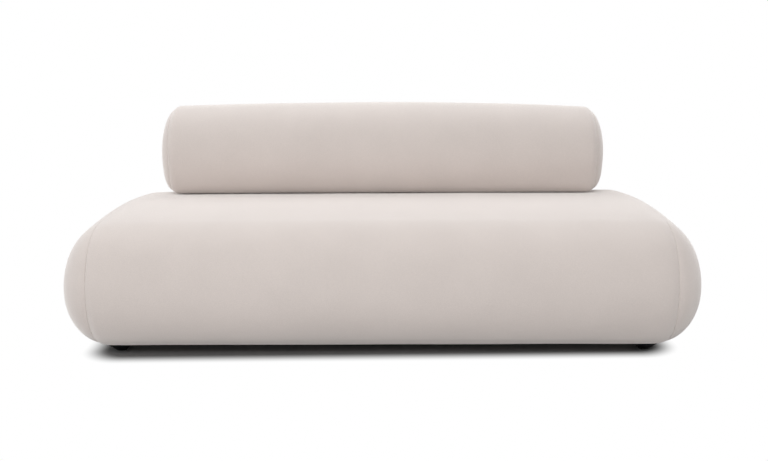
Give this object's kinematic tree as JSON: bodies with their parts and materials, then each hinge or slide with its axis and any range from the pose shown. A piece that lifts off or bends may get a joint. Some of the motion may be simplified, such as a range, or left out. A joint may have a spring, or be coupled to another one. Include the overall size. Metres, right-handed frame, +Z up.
{
  "type": "sofa bed",
  "caption": "Low armless sofa bed: pill-shaped upholstered base on short black feet, with a round bolster backrest that flips over the rear edge to widen the seat into a bed.",
  "frame": {"origin": "on the floor under the middle of the sofa", "axes": "+X along the sofa to the right as seen from the front, +Y from front to rear, +Z up"},
  "size_m": [2, 1.03, 0.7617],
  "materials": {
    "greige_fabric": "fine matte velour",
    "upholstery_foam": "open-cell foam",
    "pine_timber": "planed pine",
    "birch_plywood": "birch plywood",
    "black_coated_steel": "black powder coat",
    "zinc_plated_steel": "zinc plate",
    "black_plastic": "moulded",
    "black_felt": "pressed felt",
    "black_lining_cloth": "non-woven cloth",
    "bronze_washer": "sintered bronze"
  },
  "bodies": {
    "base": {"base_board": "birch_plywood", "front_rail": "pine_timber", "rear_rail": "pine_timber", "left_end_rail": "pine_timber", "right_end_rail": "pine_timber", "cross_members": "pine_timber", "corner_blocks": "pine_timber", "frame_screws": "zinc_plated_steel", "slats": "birch_plywood", "slat_holders": "black_plastic", "foot_front_left": "black_plastic", "foot_front_right": "black_plastic", "foot_rear_left": "black_plastic", "foot_rear_right": "black_plastic", "foot_screws": "zinc_plated_steel", "felt_glides": "black_felt", "seat_foam": "upholstery_foam", "seat_topper": "upholstery_foam", "front_foam": "upholstery_foam", "rear_foam": "upholstery_foam", "left_end_foam": "upholstery_foam", "right_end_foam": "upholstery_foam", "base_wrap_cover": "greige_fabric", "base_left_end_panel": "greige_fabric", "base_right_end_panel": "greige_fabric", "dust_cover": "black_lining_cloth", "left_hinge_bracket": "black_coated_steel", "right_hinge_bracket": "black_coated_steel", "left_pivot_bolt": "zinc_plated_steel", "right_pivot_bolt": "zinc_plated_steel", "left_friction_washers": "bronze_washer", "right_friction_washers": "bronze_washer", "left_disc_spring": "zinc_plated_steel", "right_disc_spring": "zinc_plated_steel", "left_lock_nut": "zinc_plated_steel", "right_lock_nut": "zinc_plated_steel", "left_stop_pins": "zinc_plated_steel", "right_stop_pins": "zinc_plated_steel", "bracket_bolts": "zinc_plated_steel", "bracket_nuts": "zinc_plated_steel"},
    "bolster": {"left_hinge_arm": "black_coated_steel", "right_hinge_arm": "black_coated_steel", "arm_screws": "zinc_plated_steel", "bolster_beam": "pine_timber", "bolster_left_end_disc": "birch_plywood", "bolster_right_end_disc": "birch_plywood", "disc_screws": "zinc_plated_steel", "bolster_foam": "upholstery_foam", "bolster_left_end_foam": "upholstery_foam", "bolster_right_end_foam": "upholstery_foam", "bolster_wrap_cover": "greige_fabric", "bolster_left_end_panel": "greige_fabric", "bolster_right_end_panel": "greige_fabric"}
  },
  "joints": [
    {"name": "backrest_flip", "type": "hinge", "parent": "base", "child": "bolster", "pos_m": [0, 0.494, 0.42744], "axis": [-1, 0, 0], "range_deg": [0, 175.2]}
  ]
}
